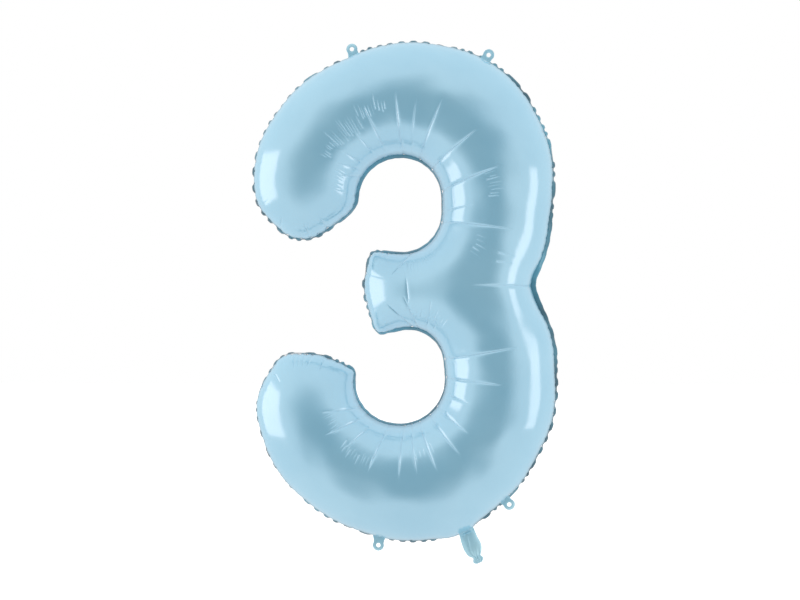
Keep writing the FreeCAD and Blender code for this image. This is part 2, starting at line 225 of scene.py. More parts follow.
# Long creases of the front panel: seam end x and z, inner end x and z, depth, half width.
LONG_CREASES = [
    (-0.036, 0.271, -0.068, 0.339, 0.0030, 0.0024),
    (-0.003, 0.268, -0.012, 0.362, 0.0034, 0.0026),
    (0.015, 0.274, 0.025, 0.353, 0.0018, 0.0026),
    (0.031, 0.257, 0.069, 0.348, 0.0032, 0.0026),
    (0.057, 0.238, 0.132, 0.297, 0.0036, 0.0028),
    (0.076, 0.197, 0.171, 0.233, 0.0036, 0.0028),
    (0.077, 0.159, 0.122, 0.166, 0.0018, 0.0022),
    (0.075, 0.138, 0.190, 0.124, 0.0036, 0.0028),
    (0.165, 0.084, 0.192, 0.077, 0.0014, 0.0022),
    (0.162, 0.069, 0.188, 0.066, 0.0014, 0.0022),
    (-0.055, 0.260, -0.084, 0.293, 0.0024, 0.0022),
    (-0.074, 0.241, -0.104, 0.258, 0.0024, 0.0022),
    (-0.080, 0.230, -0.113, 0.238, 0.0022, 0.0020),
    (-0.082, 0.217, -0.113, 0.217, 0.0022, 0.0020),
    (0.224, 0.028, 0.111, 0.029, 0.0030, 0.0028),
    (0.080, -0.098, 0.198, -0.077, 0.0038, 0.0030),
    (0.086, -0.133, 0.176, -0.142, 0.0034, 0.0026),
    (0.081, -0.161, 0.114, -0.173, 0.0026, 0.0024),
    (0.069, -0.191, 0.114, -0.224, 0.0032, 0.0026),
    (0.055, -0.209, 0.102, -0.264, 0.0032, 0.0026),
    (0.032, -0.222, 0.060, -0.289, 0.0034, 0.0026),
    (0.015, -0.229, 0.025, -0.294, 0.0028, 0.0024),
    (-0.001, -0.229, -0.006, -0.305, 0.0030, 0.0024),
    (-0.032, -0.228, -0.060, -0.291, 0.0030, 0.0024),
    (-0.066, -0.222, -0.096, -0.247, 0.0026, 0.0024),
    (-0.078, -0.203, -0.134, -0.228, 0.0030, 0.0024),
    (-0.083, -0.184, -0.139, -0.189, 0.0028, 0.0024),
    (0.008, 0.081, -0.021, 0.044, 0.0026, 0.0022),
    (0.009, 0.001, 0.005, 0.048, 0.0022, 0.0022),
    (0.020, -0.037, 0.001, 0.010, 0.0034, 0.0022),
    (0.010, -0.041, -0.030, -0.001, 0.0034, 0.0022),
    (0.041, -0.039, 0.050, 0.003, 0.0024, 0.0022),
    (0.053, -0.044, 0.061, -0.021, 0.0020, 0.0020),
    (-0.216, 0.131, -0.211, 0.149, 0.0022, 0.0020),
    (-0.166, 0.117, -0.174, 0.138, 0.0022, 0.0020),
    (-0.134, 0.129, -0.148, 0.150, 0.0024, 0.0022),
    (-0.191, -0.096, -0.190, -0.116, 0.0020, 0.0018),
    (-0.183, -0.095, -0.183, -0.113, 0.0018, 0.0016),
    (-0.175, -0.094, -0.176, -0.114, 0.0018, 0.0016),
    (-0.162, -0.095, -0.170, -0.116, 0.0022, 0.0018),
    (-0.139, -0.102, -0.147, -0.120, 0.0020, 0.0018),
    (-0.227, -0.124, -0.213, -0.140, 0.0020, 0.0020),
]

# Fans of fine wrinkles that point at a bowl's centre: bowl, first and last angle in degrees,
# inner and outer radius, number of wrinkles. Bowl 0 is the upper one.
FANS = [
    (0, 98, 115, 0.158, 0.184, 10),
    (0, 116, 136, 0.141, 0.178, 13),
    (0, 137, 148, 0.147, 0.164, 7),
    (0, 4, 20, 0.156, 0.178, 9),
    (0, 150, 168, 0.106, 0.124, 7),
    (0, -86, -74, 0.104, 0.128, 5),
    (0, -68, -55, 0.100, 0.122, 6),
    (0, -34, -22, 0.150, 0.172, 5),
    (1, 50, 74, 0.110, 0.134, 9),
    (1, 205, 221, 0.128, 0.150, 8),
    (1, 230, 252, 0.144, 0.164, 11),
    (1, 280, 296, 0.130, 0.148, 6),
]
FAN_DEPTH = 0.0011
FAN_HALF = 0.0013
FAN_DEPTHS = (0.35, 1.1)  # range of a wrinkle's depth, in fan depths
FAN_LENGTHS = (0.6, 1.15)  # range of its length, in fan lengths
FAN_JITTER = 0.25  # stray of its angle, in pitches
FAN_LEAN = 0.02  # spread of its direction, in radians
FAN_SHIFT = 0.003  # spread of its inner end

SEEDS = {"foil_front": 5, "foil_back": 7, "fans": 9, "drift": 21, "tuck": 22, "noise": 23}

# Foils: light and dark colour, index of refraction and sheen
FOILS = {
    "panel_foil": ((0.29, 0.70, 0.94, 1), (0.24, 0.65, 0.90, 1), 3.3, 0.3),
    # Painted shade: the border is the panels' foil made dark, standing in for the shade on its film where it turns
    # back.
    "border_foil_painted_shade": ((0.11, 0.37, 0.50, 1), (0.015, 0.10, 0.15, 1), 1.6, 0.0),
    # Painted light: the tabs and neck are the panels' blue foil made paler, standing in for light that their flat
    # films don't reflect.
    "tab_foil_painted_light": ((0.50, 0.84, 0.97, 1), (0.42, 0.76, 0.90, 1), 1.8, 0.3),
}

# Studio: name, place, size and radiance of each area light
LIGHTS = [
    ("left_box", (-2.2, -0.25, 0.0), (1.8, 1.7), 0.95),
    ("right_box", (2.2, -0.55, -0.3), (0.8, 1.5), 0.9),
]
WARM_WHITE = (1.0, 0.80, 0.73)
FLOOR_HALF = 8.0
FLOOR_DROP = 0.05  # from the balloon's lowest point to the floor


def unit(vectors):
    return vectors / np.linalg.norm(vectors, axis=-1, keepdims=True)


def boundary_loops(node):
    """Closed loops around the flat top of a CAD node, longest first, as arrays of (x, z)."""
    mesh = frame["nodes"][node].data
    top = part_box(node)[1].y
    edges = set()
    for face in mesh.polygons:
        corners = [tuple(round(c, 6) for c in mesh.vertices[v].co) for v in face.vertices]
        if min(y for _, y, _ in corners) > top - 1e-5:
            edges.update(zip(corners, corners[1:] + corners[:1]))
    follows = {start: end for start, end in edges if (end, start) not in edges}
    loops = []
    while follows:
        start, corner = follows.popitem()
        loop = [start]
        while corner != start:
            loop.append(corner)
            corner = follows.pop(corner)
        loops.append(np.array([(x, z) for x, _, z in loop]))
    return sorted(loops, key=lambda loop: -np.ptp(loop[:, 1]))


def cubic(t, span, start, end, start_slope, end_slope):
    """Curve from start to end over a span, with given slopes there. t runs from 0 to 1."""
    return (
        (2 * t**3 - 3 * t**2 + 1) * start
        + (t**3 - 2 * t**2 + t) * span * start_slope
        + (3 * t**2 - 2 * t**3) * end
        + (t**3 - t**2) * span * end_slope
    )


def resample(points, step):
    """Evenly spaced points on the smooth closed curve through points, anticlockwise."""
    x, z = points.T
    if np.sum(x * np.roll(z, -1) - z * np.roll(x, -1)) < 0:
        points = points[::-1]
    chord = np.roll(points, -1, 0) - points
    length = np.linalg.norm(chord, axis=1)
    heading = chord / length[:, None]
    before = np.roll(length, 1)[:, None]
    tangent = unit(np.roll(heading, 1, 0) * length[:, None] + heading * before)
    ends = np.cumsum(length)
    along = np.arange(round(ends[-1] / step)) * ends[-1] / round(ends[-1] / step)
    index = np.searchsorted(ends, along, side="right")
    span = length[index][:, None]
    t = 1 - (ends[index] - along)[:, None] / span
    after = (index + 1) % len(points)
    return cubic(t, span, points[index], points[after], tangent[index], tangent[after])


def outward(loop):
    """Unit normals of an anticlockwise closed loop, pointing out of it."""
    along = unit(np.roll(loop, -1, 0) - np.roll(loop, 1, 0))
    return np.stack([along[:, 1], -along[:, 0]], axis=1)


class Membrane:
    """Deflection of a membrane stretched over a closed loop, under even pressure, on a grid."""

    def __init__(self, loop):
        self.low = loop.min(0) - 2 * GRID
        count = np.ceil((loop.max(0) + 2 * GRID - self.low) / GRID).astype(int) + 1
        self.x = self.low[0] + GRID * np.arange(count[0])
        self.z = self.low[1] + GRID * np.arange(count[1])
        inside, east, west = self.reach(loop[:, 0], loop[:, 1], self.x, self.z)
        _, north, south = self.reach(loop[:, 1], loop[:, 0], self.z, self.x)
        self.solve(inside, east, west, north.T, south.T)

    @staticmethod
    def reach(across, along, nodes, levels):
        """Which grid nodes are inside, and how far each may go up and down the across axis."""
        inside = np.zeros((len(levels), len(nodes)), bool)
        up = np.full(inside.shape, GRID)
        down = np.full(inside.shape, GRID)
        across_next, along_next = np.roll(across, -1), np.roll(along, -1)
        for row, level in enumerate(levels):
            hit = (along <= level) != (along_next <= level)
            share = (level - along[hit]) / (along_next[hit] - along[hit])
            cuts = np.sort(across[hit] + share * (across_next[hit] - across[hit]))
            for low, high in zip(cuts[0::2], cuts[1::2]):
                within = (nodes > low) & (nodes < high)
                inside[row, within] = True
                up[row, within] = np.minimum(GRID, high - nodes[within])
                down[row, within] = np.minimum(GRID, nodes[within] - low)
        least = GRID / 20  # a shorter reach would make the sweeps unstable
        return inside, np.maximum(up, least), np.maximum(down, least)

    def solve(self, inside, east, west, north, south):
        """Successive over-relaxation, with the odd and even nodes in turn."""
        pull = [
            2 / (east * (east + west)), 2 / (west * (east + west)),
            2 / (north * (north + south)), 2 / (south * (north + south)),
        ]
        total = sum(pull)
        row, column = np.indices(inside.shape)
        masks = [inside * ((row + column) % 2 == turn) * RELAX for turn in (0, 1)]
        u = np.zeros(inside.shape)
        for _ in range(SWEEPS):
            for mask in masks:
                level = np.ones(u.shape)
                level[:, :-1] += pull[0][:, :-1] * u[:, 1:]
                level[:, 1:] += pull[1][:, 1:] * u[:, :-1]
                level[:-1] += pull[2][:-1] * u[1:]
                level[1:] += pull[3][1:] * u[:-1]
                u += mask * (level / total - u)
        slope_z, slope_x = np.gradient(u, GRID)
        self.fields = np.stack([u, slope_x, slope_z], axis=-1)

    def at(self, points):
        """Deflection and its slopes along x and z at points, by bilinear interpolation."""
        place = (points - self.low) / GRID
        cell = np.floor(place).astype(int)
        fx, fz = (place - cell).T[..., None]
        i, k = cell.T
        f = self.fields
        found = (
            (1 - fx) * (1 - fz) * f[k, i] + fx * (1 - fz) * f[k, i + 1]
            + (1 - fx) * fz * f[k + 1, i] + fx * fz * f[k + 1, i + 1]
        )
        return found[:, 0], found[:, 1:]


def climb(membrane, points, level):
    """Move points up the membrane's slope until its deflection is level."""
    for _ in range(CLIMB_STEPS):
        u, slope = membrane.at(points)
        step = (level - u)[:, None] * slope / np.sum(slope**2, axis=1, keepdims=True)
        points = points + step
    return points


def band_rows(membrane, weld, normal):
    """Rows of points from the weld line up the membrane: places, deflections and slopes."""
    start = weld - normal * START_DEPTH
    start_u, _ = membrane.at(start)
    steep = -normal * (start_u / START_DEPTH)[:, None]
    fall = 1 - START_DEPTH / (2 * TUBE)
    places, deflections, slopes = [], [], []
    current = start
    for row in range(BAND_ROWS + 1):
        height = TUBE * math.sin(BAND_TURN * row / BAND_ROWS)
        level = height**2 / 2
        share = level / start_u
        straight = share < 1
        # About where a round tube's deflection has that share of its value at START_DEPTH.
        depth = START_DEPTH * share * fall / (1 - 0.5 * START_DEPTH * share / TUBE)
        traced = climb(membrane, current, np.maximum(level, start_u))
        place = np.where(straight[:, None], weld - normal * depth[:, None], traced)
        current = np.where(straight[:, None], current, traced)
        _, slope = membrane.at(current)
        mix = np.clip(share, 0, 1)[:, None]
        places.append(place)
        deflections.append(np.full(len(weld), level))
        slopes.append(steep * (1 - mix) + slope * mix)
    return np.array(places), np.array(deflections), np.array(slopes)


def triangular_grid(low, high, step):
    """Points of a triangular grid that fills the box from low to high."""
    rise = step * math.sqrt(3) / 2
    rows = []
    for number, level in enumerate(np.arange(low[1], high[1], rise)):
        across = np.arange(low[0], high[0], step) + (number % 2) * step / 2
        rows.append(np.stack([across, np.full(len(across), level)], axis=1))
    return np.concatenate(rows)


def bowl_centres():
    """Plan centres of the upper and the lower bowl."""
    openings = frame["record"]["physics"]["openings"]
    boxes = [item["box_m"] for item in openings if item["name"] in ("upper_bowl", "lower_bowl")]
    return [np.array([(low[axis] + high[axis]) / 2 for axis in (0, 2)]) for low, high in boxes]


def fan_creases():
    """The wrinkles of the fans, as creases."""
    random = np.random.default_rng(SEEDS["fans"])
    centres = bowl_centres()
    creases = []
    for bowl, first, last, inner, outer, count in FANS:
        pitch = math.radians(last - first) / count
        angles = np.linspace(math.radians(first), math.radians(last), count)
        for angle in angles + random.uniform(-FAN_JITTER, FAN_JITTER, count) * pitch:
            way = np.array([math.cos(angle), math.sin(angle)])
            lean = angle + random.normal(0, FAN_LEAN)
            start = centres[bowl] + way * (inner + random.normal(0, FAN_SHIFT))
            length = (outer - inner) * random.uniform(*FAN_LENGTHS)
            end = start + length * np.array([math.cos(lean), math.sin(lean)])
            depth = FAN_DEPTH * random.uniform(*FAN_DEPTHS)
            creases.append((*start, *end, depth, FAN_HALF))
    return creases


def crease_lines(creases):
    """Start, unit direction, length, depth and half width of each crease."""
    table = np.array(creases)
    way = table[:, 2:4] - table[:, 0:2]
    length = np.linalg.norm(way, axis=1)
    return zip(table[:, 0:2], unit(way), length, table[:, 4], table[:, 5])


def crease_points(creases):
    """Points in rows along both flanks of every crease."""
    found = []
    for start, way, length, _, half in crease_lines(creases):
        along = np.linspace(0, 1, math.ceil(length / CREASE_STEP) + 1) * length
        aside = np.array([-way[1], way[0]])
        for side in CREASE_SIDES:
            found.append(start + way * along[:, None] + aside * side * half)
    return np.concatenate(found)


def off_creases(points, creases):
    """Which points are clear of every crease."""
    clear = np.ones(len(points), bool)
    for start, way, length, _, half in crease_lines(creases):
        offset = points - start
        nearest = np.clip(offset @ way, 0, length)
        gap = np.linalg.norm(offset - nearest[:, None] * way, axis=1)
        clear &= gap > CREASE_CLEAR * half
    return clear


def middle_fill(membrane, rows, levels, creases):
    """Points inside the first of the rows, and the triangles that join them to that row."""
    rim = rows[0]
    others = rows[1:].reshape(-1, 2)
    grid = triangular_grid(rim.min(0), rim.max(0), INNER_STEP)
    grid = grid[membrane.at(grid)[0] > levels[-1] * GRID_MARGIN]
    others = np.concatenate([others, grid])
    others = others[off_creases(others, creases)]
    folds = crease_points(creases)
    folds = folds[membrane.at(folds)[0] > levels[0] * FOLD_MARGIN]
    inner = np.concatenate([others, folds])
    both = [Vector(point) for point in np.concatenate([rim, inner])]
    ring = list(range(len(rim)))
    edges = list(zip(ring, ring[1:] + ring[:1]))
    corners, _, faces, origins, _, _ = delaunay_2d_cdt(both, edges, [], 1, MERGE_GAP)
    if len(corners) != len(both):
        raise ValueError("the fill added or merged points")
    source = [origin[0] for origin in origins]
    return inner, [[source[corner] for corner in face] for face in faces]


def wander(along, total, pitch, seed):
    """Smooth closed random curve from -1 to 1 along the seam, with bends about pitch apart."""
    random = np.random.default_rng(seed)
    count = max(4, round(total / pitch))
    knots = random.uniform(-1, 1, count)
    place = along / total * count
    index = np.floor(place).astype(int) % count
    t = place - np.floor(place)
    t = t * t * (3 - 2 * t)
    return knots[index] * (1 - t) + knots[(index + 1) % count] * t


class Seam:
    """The weld line, its normals, how it puckers and how the border stands on it."""

    def __init__(self):
        inner_edge = boundary_loops("seam_border")[1]
        fine = resample(inner_edge, SEAM_STEP / 4)
        normal = outward(fine)
        shown, _ = self.border_turn(fine)
        # The outline stays the CAD one, so the weld line moves out where less of the border shows.
        out = BORDER_LAP + BORDER_WIDTH * (1 - shown)
        self.weld = resample((fine + normal * out[:, None])[::4], SEAM_STEP)
        self.normal = outward(self.weld)
        step = np.linalg.norm(np.roll(self.weld, -1, 0) - self.weld, axis=1)
        self.along = np.cumsum(step) - step
        self.total = step.sum()
        self.shown, self.waver = self.border_turn(self.weld)
        turn = np.roll(self.normal, -1, 0) - np.roll(self.normal, 1, 0)
        along = np.roll(self.weld, -1, 0) - np.roll(self.weld, 1, 0)
        bend = np.sum(turn * along, axis=1) / np.sum(along * along, axis=1)
        spread = np.exp(-(np.arange(-BEND_REACH, BEND_REACH + 1) / BEND_SPREAD) ** 2)
        padded = np.concatenate([bend[-BEND_REACH:], bend, bend[:BEND_REACH]])
        bend = np.convolve(padded, spread / spread.sum(), "valid")
        self.convex = np.clip(0.5 + bend * CONVEX_GAIN, 0, 1)

    @staticmethod
    def border_turn(points):
        """Share of the border's width that shows from the front, and how much it wavers."""
        turn = np.array(BORDER_TURN)
        away = np.linalg.norm(points[:, None] - turn[None, :, :2], axis=2)
        weight = 1 / (away**4 + 1e-9)
        weight = weight / weight.sum(1, keepdims=True)
        return weight @ turn[:, 2], weight @ turn[:, 3]

    def puckers(self, seed):
        """Places, depths, lengths and half widths of the short creases across the weld line."""
        random = np.random.default_rng(seed)
        found = []
        place = 0.0
        while place < self.total:
            convex = np.interp(place, self.along, self.convex)
            pitch, *sizes = [
                (hollow + more * convex) * random.uniform(lowest, highest)
                for hollow, more, lowest, highest in PUCKER_SIZES
            ]
            found.append((place, *sizes))
            place += pitch
        return found


def surface(membrane, seam, creases):
    """Plan points, heights, outward directions and faces of a smooth panel."""
    places, deflections, slopes = band_rows(membrane, seam.weld, seam.normal)
    levels = deflections[STRIP_ROWS:, 0]
    inner, fill = middle_fill(membrane, places[STRIP_ROWS:], levels, creases)
    inner_u, inner_slope = membrane.at(inner)
    strip = slice(0, STRIP_ROWS + 1)
    plan = np.concatenate([places[strip].reshape(-1, 2), inner])
    u = np.concatenate([deflections[strip].ravel(), inner_u])
    slope = np.concatenate([slopes[strip].reshape(-1, 2), inner_slope])
    count = len(seam.weld)
    faces = []
    for row in range(STRIP_ROWS):
        base = row * count
        for index in range(count):
            after = (index + 1) % count
            faces.append((base + index, base + after, base + count + after, base + count + index))
    offset = STRIP_ROWS * count
    faces += [tuple(offset + corner for corner in face) for face in fill]
    height = np.sqrt(2 * np.maximum(u, 0))
    out = unit(np.stack([-slope[:, 0], -height, -slope[:, 1]], axis=1))
    return plan, height, out, faces


def crease_depth(plan, creases):
    """How far the creases and wrinkles sink the surface at each point."""
    sink = np.zeros(len(plan))
    for start, way, length, depth, half in crease_lines(creases):
        offset = plan - start
        along = offset @ way / length
        aside = np.abs(offset @ np.array([-way[1], way[0]]))
        near = (aside < CREASE_CUT * half) & (along > -CREASE_LEAD) & (along < 1)
        t = np.maximum(along[near], 0)
        fade = np.minimum(1 - t**CREASE_FADE, 1 + along[near] / CREASE_LEAD)
        narrow = half * (CREASE_WIDE - CREASE_TAPER * t)
        sink[near] += CREASE_SINK * depth * fade * np.exp(-aside[near] / narrow)
    return sink


def pucker_depth(seam, puckers, plan, height):
    """How far the seam's short creases sink each point near the weld line."""
    sink = np.zeros(len(plan))
    up = TUBE * np.arcsin(np.minimum(height / TUBE, 1))
    low = np.flatnonzero(up < PUCKER_REACH)
    nearest = np.empty(len(low), int)
    for part in np.array_split(np.arange(len(low)), PUCKER_PARTS):
        away = plan[low[part]][:, None, :] - seam.weld[None, ::2]
        nearest[part] = np.argmin((away**2).sum(2), axis=1) * 2
    along = seam.weld[nearest]
    ahead = np.stack([-seam.normal[nearest, 1], seam.normal[nearest, 0]], axis=1)
    place = seam.along[nearest] + np.sum((plan[low] - along) * ahead, axis=1)
    for start, depth, length, half in puckers:
        aside = np.abs(place - start)
        near = np.flatnonzero(aside < PUCKER_CUT * half)
        shape = np.exp(-aside[near] / half - (up[low[near]] / length) ** PUCKER_FADE)
        sink[low[near]] += depth * shape
    return sink


def swell(plan, seed):
    """Slow unevenness of the film, from about -1 to 1."""
    random = np.random.default_rng(seed)
    waves = random.normal(0, SWELL_RATE, (SWELL_WAVES, 2))
    shift = random.uniform(0, 2 * math.pi, SWELL_WAVES)
    return np.sin(plan @ waves.T + shift).sum(1) / SWELL_SCALE


def mesh_object(name, points, faces, material, body=None):
    """A smooth-shaded mesh in the scene, riding on a body where one is given."""
    mesh = bpy.data.meshes.new(name)
    mesh.from_pydata([tuple(point) for point in points], [], faces)
    mesh.validate()
    mesh.shade_smooth()
    mesh.materials.append(material)
    piece = bpy.data.objects.new(name, mesh)
    bpy.context.scene.collection.objects.link(piece)
    if body:
        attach(piece, body)
    return piece


def make_panel(name, node, side, seam, creases, base, material):
    """One foil panel. side is -1 at the front and 1 at the back."""
    plan, height, out, faces = base
    seed = SEEDS[name]
    sink = crease_depth(plan, creases)
    sink += pucker_depth(seam, seam.puckers(seed), plan, height)
    sink += SWELL * swell(plan, seed) * (height / TUBE) ** 2
    points = np.stack([plan[:, 0], -height * FULLNESS, plan[:, 1]], axis=1)
    points -= out * sink[:, None]
    points[:, 1] = np.minimum(points[:, 1], -FILM / 2)
    if side > 0:
        points[:, 1] *= -1
        faces = [face[::-1] for face in faces]
    panel = mesh_object(name, points, faces, material, "balloon")
    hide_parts(node)
    # The photo shows no mirror image of one side of a bowl in the other.
    panel.visible_glossy = False


def closed_tube(rings):
    """Faces of a tube that closes on itself both ways, made of rings of points."""
    count, turns = len(rings[0]), len(rings)
    faces = []
    for row in range(turns):
        base, above = row * count, (row + 1) % turns * count
        for index in range(count):
            after = (index + 1) % count
            faces.append((base + index, above + index, above + after, base + after))
    return np.concatenate(rings), faces


def make_border(seam, material):
    """The weld band: a thin film that ruffles and turns back towards its cut edge."""
    turns = seam.along / seam.total * round(seam.total / RUFFLE)
    turns += wander(seam.along, seam.total, DRIFT_PITCH, SEEDS["drift"]) * SCALLOP_DRIFT
    wave = SCALLOP_SWING * np.tanh(SCALLOP_FLAT * np.sin(2 * math.pi * turns) + SCALLOP_LEAN)
    wave += SCALLOP_NOISE * wander(seam.along, seam.total, NOISE_PITCH, SEEDS["noise"])
    shown = np.clip(seam.shown + seam.waver * wave, LEAST_SHOWN, 1)
    hidden = np.sqrt(1 - shown**2)
    tuck = wander(seam.along, seam.total, NOISE_PITCH, SEEDS["tuck"]) * TUCK_NOISE + TUCK
    rows = []
    for share in np.linspace(BORDER_START, 1, BORDER_ROWS + 1):
        plan = seam.weld + seam.normal * (BORDER_WIDTH * share * shown)[:, None]
        lift = BORDER_WIDTH * hidden * tuck * max(share, 0) ** TUCK_CURVE
        rows.append(np.stack([plan[:, 0], lift, plan[:, 1]], axis=1))
    thickness = np.array([0, FILM / 2, 0])
    rings = [row - thickness for row in rows] + [row + thickness for row in rows[::-1]]
    # Its material is the border foil, darkened as painted shade.
    border = mesh_object("border_film", *closed_tube(rings), material, "balloon")
    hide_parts("seam_border")


def joint(name):
    """The frame's joint of that name."""
    return [item for item in frame["joints"] if item["name"] == name][0]


def mount(name):
    """The record's mount of that name."""
    return [item for item in frame["record"]["mounts"] if item["name"] == name][0]


def tab_outline(angles):
    """Distance from the hole's centre to a tab's edge. Angles run from the tab's far end."""
    reach = np.linspace(TAB_HOLE, TAB_FAR, TAB_PROBES)[:, None]
    across = np.abs(reach * np.sin(angles))
    back = -reach * np.cos(angles)
    head = np.hypot(across, back) <= TAB_HEAD
    flare = TAB_FLARE * np.maximum(back - TAB_FLARE_START, 0) ** 2
    root = (across <= TAB_NECK + flare) & (back < TAB_ROOT)
    inside = head | (root & (back > 0))
    return reach[np.argmin(inside, axis=0) - 1, 0]


def make_tab(name, curl, material):
    """A hanging tab: a thin film with a punched hole and an embossed ring, and its root."""
    fold = Vector(joint(name + "_fold")["pos_m"])
    hole = Vector(mount(name + "_hole")["pos_m"])
    along = (hole - fold).normalized()
    across = Vector((along.z, 0, -along.x))
    angles = np.linspace(0, 2 * math.pi, TAB_SIDES, endpoint=False)
    edge = tab_outline(angles)
    rows = []
    for share in np.linspace(0, 1, TAB_ROWS):
        reach = TAB_HOLE + (edge - TAB_HOLE) * share
        ahead, aside = reach * np.cos(angles), reach * np.sin(angles)
        ring = TAB_EMBOSS * np.exp(-((reach - TAB_RING) / TAB_EMBOSS_WIDE) ** 2)
        bend = curl * np.maximum(ahead + TAB_HOLE, 0) ** 2 / TAB_HEAD
        rows.append((ahead, aside, bend - ring))
    rings = []
    for side, order in ((-1, rows), (1, rows[::-1])):
        for ahead, aside, rise in order:
            spot = np.array(hole) + ahead[:, None] * np.array(along)
            spot = spot + aside[:, None] * np.array(across)
            spot[:, 1] += rise + side * FILM / 2
            rings.append(spot)
    # Its material is the tab foil, the foil's own blue made paler as painted light.
    tab = mesh_object(name + "_film", *closed_tube(rings), material)
    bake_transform(tab)
    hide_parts(name)


def thin_film(name, points, side, material):
    """A film whose outer face is a grid of points, closed behind it."""
    rows, columns = points.shape[:2]
    behind = points - np.array([0, side * FILM, 0])
    both = np.concatenate([points.reshape(-1, 3), behind.reshape(-1, 3)])
    shift = rows * columns
    faces = []
    for row in range(rows - 1):
        for column in range(columns - 1):
            corner = row * columns + column
            quad = (corner, corner + 1, corner + columns + 1, corner + columns)
            faces.append(quad)
            faces.append(tuple(shift + vertex for vertex in quad[::-1]))
    edge = list(range(columns - 1))
    edge += [row * columns + columns - 1 for row in range(rows - 1)]
    edge += [(rows - 1) * columns + column for column in range(columns - 1, 0, -1)]
    edge += [row * columns for row in range(rows - 1, 0, -1)]
    for start, end in zip(edge, edge[1:] + edge[:1]):
        faces.append((end, start, start + shift, end + shift))
    if side > 0:
        faces = [face[::-1] for face in faces]
    return mesh_object(name, both, faces, material)


def smooth_curve(place, knots, values):
    """Cubic curve through values at knots."""
    knots, values = np.array(knots), np.array(values)
    slope = np.gradient(values, knots)
    index = np.clip(np.searchsorted(knots, place, side="right") - 1, 0, len(knots) - 2)
    span = knots[index + 1] - knots[index]
    t = (place - knots[index]) / span
    return cubic(t, span, values[index], values[index + 1], slope[index], slope[index + 1])


def bell(place, middle, width):
    """A smooth hump of height 1 around the middle."""
    return np.exp(-(((place - middle) / width) ** 2))


def neck_surface(side, start, end):
    """Outer face of the neck's or a lip's film, and the way that the neck points."""
    fold, mouth = (Vector(joint(name)["pos_m"]) for name in ("neck_fold", "front_lip_open"))
    fold.y = mouth.y = 0
    along = np.array((mouth - fold).normalized())
    across = np.array((along[2], 0, -along[0]))
    place = np.linspace(start, end, round((end - start) / NECK_STEP) + 1)[:, None]
    share = np.sin(np.linspace(-math.pi / 2, math.pi / 2, NECK_COLUMNS))[None]
    left = smooth_curve(place, NECK_KNOTS, NECK_LEFT)
    right = smooth_curve(place, NECK_KNOTS, NECK_RIGHT)
    aside = (right - left) / 2 + share * (right + left) / 2
    puff = smooth_curve(place, NECK_KNOTS, NECK_PUFF)
    edges = 1 - share**2  # no rise at the two welds
    rise = puff * edges**NECK_ROUND
    for height, middle, reach, waves, shift in NECK_GATHERS:
        wave = np.cos(waves * share + shift * side)
        rise += height * bell(place, middle, reach) * wave * edges
    depth, middle, reach = NECK_DENT
    rise -= depth * bell(place, middle, reach) * edges
    depth, middle, reach = NECK_CREASE
    line = NECK_CREASE_AT[1] + NECK_CREASE_SLANT * (place - NECK_CREASE_AT[0])
    profile = np.exp(-np.abs(share - line) / NECK_CREASE_WIDE)
    rise -= depth * profile * bell(place, middle, reach)
    points = np.array(fold) + place[..., None] * along + aside[..., None] * across
    points[..., 1] = side * (FILM + FILM_GAP + np.maximum(rise, 0))
    return points, along


def make_neck(material):
    """The filling neck's two films and the two lips of its mouth."""
    for side, word in ((-1, "front"), (1, "back")):
        points, along = neck_surface(side, NECK_KNOTS[0], NECK_MOUTH)
        # The neck and lips take the tab foil, the foil's own blue made paler as painted light.
        film = thin_film("neck_%s_foil" % word, points, side, material)
        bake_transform(film)
        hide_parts("neck_%s_film" % word)
        points, _ = neck_surface(side, NECK_MOUTH, NECK_KNOTS[-1])
        lip = thin_film("mouth_%s_foil" % word, points, side, material)
        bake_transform(lip)
        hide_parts("mouth_%s_lip" % word)


def add_node(tree, kind, **settings):
    """A shader node with its properties and sockets set by name, _ standing for a space."""
    node = tree.nodes.new(kind)
    for name, value in settings.items():
        if hasattr(node, name):
            setattr(node, name, value)
        else:
            node.inputs[name.replace("_", " ")].default_value = value
    return node


def new_material(name):
    """A material, its node tree and the inputs of its shader."""
    material = bpy.data.materials.new(name)
    material.use_nodes = True
    tree = material.node_tree
    return material, tree, tree.nodes["Principled BSDF"].inputs


def add_noise(tree, scale, detail):
    """Value of a noise texture in object coordinates."""
    place = add_node(tree, "ShaderNodeTexCoord")
    noise = add_node(tree, "ShaderNodeTexNoise", Scale=scale, Detail=detail)
    tree.links.new(place.outputs["Object"], noise.inputs["Vector"])
    return noise.outputs["Fac"]


def add_range(tree, value, **limits):
    """A value brought from one range to another."""
    scaled = add_node(tree, "ShaderNodeMapRange", **limits)
    tree.links.new(value, scaled.inputs["Value"])
    return scaled.outputs["Result"]


def add_colour(tree, share, dark, light):
    """A colour between dark and light."""
    mix = add_node(tree, "ShaderNodeMix", data_type="RGBA")
    # Its colour sockets have the same names as its number sockets, so they go by their places.
    mix.inputs[6].default_value = dark
    mix.inputs[7].default_value = light
    tree.links.new(share, mix.inputs[0])
    return mix.outputs[2]


def add_bump(tree, height, strength, distance):
    """A normal that follows small bumps."""
    bump = add_node(tree, "ShaderNodeBump", Strength=strength, Distance=distance)
    tree.links.new(height, bump.inputs["Height"])
    return bump.outputs["Normal"]


def foil_material(name, light, dark, refraction, sheen):
    """Pastel metallised film: slight colour drift, soft gloss and fine ripple."""
    material, tree, shader = new_material(name)
    shader["Metallic"].default_value = 0.15
    shader["IOR"].default_value = refraction
    shader["Sheen Weight"].default_value = sheen
    shader["Sheen Roughness"].default_value = 0.5
    drift = add_range(tree, add_noise(tree, 9.0, 3.0), From_Min=0.35, From_Max=0.65)
    rough = add_range(tree, add_noise(tree, 22.0, 4.0), To_Min=0.11, To_Max=0.21)
    ripple = add_bump(tree, add_noise(tree, 55.0, 2.0), 0.25, 0.0008)
    tree.links.new(add_colour(tree, drift, dark, light), shader["Base Color"])
    tree.links.new(rough, shader["Roughness"])
    tree.links.new(ripple, shader["Normal"])
    return material


